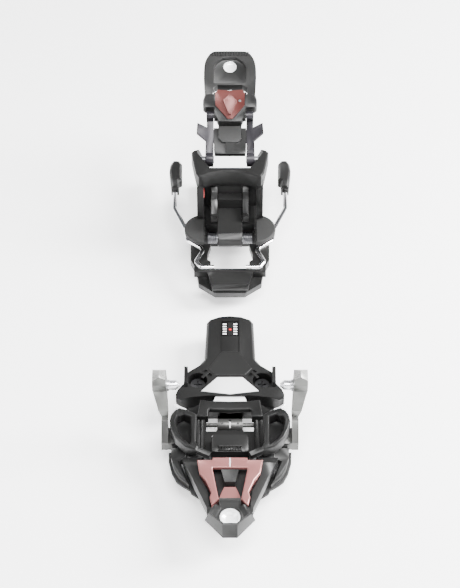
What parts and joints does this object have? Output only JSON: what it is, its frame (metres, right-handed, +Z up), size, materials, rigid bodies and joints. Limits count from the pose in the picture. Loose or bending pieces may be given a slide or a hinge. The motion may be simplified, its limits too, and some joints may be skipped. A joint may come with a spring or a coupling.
{
  "type": "touring ski binding",
  "caption": "Touring ski binding for one ski: toe piece with swinging pin arms, pole-operated lever and sideways release, and heel piece with step-in jaw, climbing aid and brake.",
  "frame": {"origin": "centre of the toe piece's four screws, on the ski's top face", "axes": "+Z up from the ski, +Y towards the ski's tail, +X across the ski to the right when looking towards the tail from the tip"},
  "size_m": [0.0928, 0.3497, 0.0987],
  "materials": {
    "black_nylon": "fine-grained moulded nylon",
    "dark_nylon": "satin moulded nylon",
    "grey_nylon": "satin moulded nylon with glass fibre",
    "pad_rubber": "matte pad",
    "black_alloy": "black coated plate",
    "dark_alloy": "dark anodised",
    "grey_alloy": "bead-blasted",
    "forged_alloy": "forged and brushed",
    "violet_alloy": "anodised grey-violet",
    "rose_metal": "rose metallic",
    "bright_cup": "bright machined",
    "steel_screws": "zinc plated",
    "steel_pins": "ground",
    "hard_steel": "hardened and polished",
    "spring_steel": "oiled",
    "bright_wire": "bright plated wire",
    "pale_badge": "gloss",
    "clear_window": "clear moulded",
    "red_marker": "gloss"
  },
  "bodies": {
    "base": {"toe_base_plate": "black_alloy", "toe_screws_rear": "steel_screws", "toe_screws_front": "steel_screws", "toe_housing": "black_nylon", "toe_badge": "pale_badge", "toe_front_mark": "pale_badge", "scale_window": "clear_window", "toe_release_spring": "spring_steel", "heel_base_plate": "black_alloy", "heel_screws": "steel_screws"},
    "toe_carriage_unit": {"toe_carriage": "dark_alloy", "toe_bridge": "black_nylon", "toe_deck": "dark_nylon", "toe_loop_left": "dark_alloy", "toe_loop_right": "dark_alloy", "toe_skirt_left": "grey_nylon", "toe_skirt_right": "grey_nylon", "arm_pivot_pins": "steel_pins", "toe_lever_axle": "steel_pins"},
    "left_arm_unit": {"toe_arm_left": "forged_alloy", "toe_arm_link_left": "grey_alloy", "toe_pin_left": "hard_steel"},
    "right_arm_unit": {"toe_arm_right": "forged_alloy", "toe_arm_link_right": "grey_alloy", "toe_pin_right": "hard_steel"},
    "toe_lever_unit": {"toe_lever": "grey_nylon", "toe_lever_plate": "rose_metal", "toe_pole_cup": "bright_cup"},
    "button_unit": {"lock_button": "black_nylon"},
    "drum_unit": {"setting_drum": "grey_nylon"},
    "plunger_unit": {"release_plunger": "steel_pins"},
    "seat_unit": {"spring_seat": "red_marker"},
    "toe_screw_unit": {"toe_release_screw": "steel_screws"},
    "heel_carriage_unit": {"heel_carriage": "black_nylon", "heel_release_spring": "spring_steel", "heel_axle": "steel_pins", "brake_axle": "steel_pins", "brake_spring": "spring_steel"},
    "length_screw_unit": {"length_screw": "steel_screws"},
    "heel_cap_unit": {"heel_release_cap": "steel_screws"},
    "jaw_unit": {"heel_housing": "black_nylon", "heel_tongue": "dark_nylon", "heel_rails": "dark_alloy", "heel_lever_axle": "steel_pins"},
    "heel_lever_unit": {"heel_lever_arm_left": "violet_alloy", "heel_lever_arm_right": "violet_alloy", "heel_lever_bridge": "dark_nylon", "heel_lever_shield": "grey_nylon", "climbing_aid_axle": "steel_pins"},
    "climbing_aid_unit": {"climbing_aid_collar": "dark_nylon", "climbing_aid_insert": "rose_metal", "climbing_aid_cap": "grey_nylon", "heel_pole_cup": "bright_cup"},
    "brake_unit": {"brake_frame": "dark_nylon", "heel_pads": "pad_rubber", "brake_pedal": "dark_nylon", "brake_wire_left": "bright_wire", "brake_wire_right": "bright_wire", "brake_tip_left": "dark_nylon", "brake_tip_right": "dark_nylon"}
  },
  "joints": [
    {"name": "toe_release_slide", "type": "slide", "parent": "base", "child": "toe_carriage_unit", "axis": [1, 0, 0], "range_m": [-0.012, 0.012], "stiffness_N_per_m": 5000},
    {"name": "left_arm_swing", "type": "hinge", "parent": "toe_carriage_unit", "child": "left_arm_unit", "pos_m": [-0.031, -0.0137, 0.009], "axis": [0, -1, 0], "range_deg": [0, 24]},
    {"name": "right_arm_swing", "type": "hinge", "parent": "toe_carriage_unit", "child": "right_arm_unit", "pos_m": [0.031, -0.0137, 0.009], "axis": [0, 1, 0], "range_deg": [0, 24]},
    {"name": "toe_lever_press", "type": "hinge", "parent": "toe_carriage_unit", "child": "toe_lever_unit", "pos_m": [0, -0.036, 0.013], "axis": [1, 0, 0], "range_deg": [0, 12]},
    {"name": "lock_button_press", "type": "slide", "parent": "toe_lever_unit", "child": "button_unit", "axis": [0, 0, -1], "range_m": [0, 0.0015], "stiffness_N_per_m": 300},
    {"name": "setting_drum_turn", "type": "hinge", "parent": "toe_carriage_unit", "child": "drum_unit", "pos_m": [0, -0.006, 0.0122], "axis": [1, 0, 0], "continuous": true},
    {"name": "plunger_push", "type": "slide", "parent": "base", "child": "plunger_unit", "axis": [0, 1, 0], "range_m": [0, 0.0012], "stiffness_N_per_m": 5000, "deforming": ["toe_release_spring"]},
    {"name": "toe_release_screw_turn", "type": "hinge", "parent": "base", "child": "toe_screw_unit", "pos_m": [0, 0.07, 0.0095], "axis": [0, 1, 0], "range_deg": [-1081, 1081]},
    {"name": "spring_seat_slide", "type": "slide", "parent": "base", "child": "seat_unit", "axis": [0, 1, 0], "range_m": [-0.003, 0.003], "deforming": ["toe_release_spring"]},
    {"name": "heel_length_slide", "type": "slide", "parent": "base", "child": "heel_carriage_unit", "axis": [0, 1, 0], "range_m": [-0.0125, 0.0125]},
    {"name": "length_screw_turn", "type": "hinge", "parent": "heel_carriage_unit", "child": "length_screw_unit", "pos_m": [0, 0.19, 0.008], "axis": [0, 1, 0], "range_deg": [-3001, 3001]},
    {"name": "heel_release_cap_turn", "type": "hinge", "parent": "heel_carriage_unit", "child": "heel_cap_unit", "pos_m": [0, 0.209, 0.0156], "axis": [0, 1, 0], "continuous": true},
    {"name": "heel_jaw_lift", "type": "hinge", "parent": "heel_carriage_unit", "child": "jaw_unit", "pos_m": [0, 0.196, 0.018], "axis": [-1, 0, 0], "range_deg": [0, 25], "stiffness_Nm_per_rad": 25},
    {"name": "heel_lever_press", "type": "hinge", "parent": "jaw_unit", "child": "heel_lever_unit", "pos_m": [0, 0.185, 0.0568], "axis": [-1, 0, 0], "range_deg": [0, 30]},
    {"name": "climbing_aid_flip", "type": "hinge", "parent": "heel_lever_unit", "child": "climbing_aid_unit", "pos_m": [0, 0.21442, 0.0707], "axis": [1, 0, 0], "range_deg": [0, 134]},
    {"name": "brake_swing", "type": "hinge", "parent": "heel_carriage_unit", "child": "brake_unit", "pos_m": [0, 0.156, 0.011], "axis": [-1, 0, 0], "range_deg": [0, 34]}
  ],
  "couplings": [
    {"joint": "left_arm_swing", "follows": "toe_lever_press", "ratio": 2},
    {"joint": "right_arm_swing", "follows": "toe_lever_press", "ratio": 2},
    {"joint": "toe_release_screw_turn", "follows": "spring_seat_slide", "rad_per_m": 6283.2},
    {"joint": "length_screw_turn", "follows": "heel_length_slide", "rad_per_m": 4188.8}
  ]
}
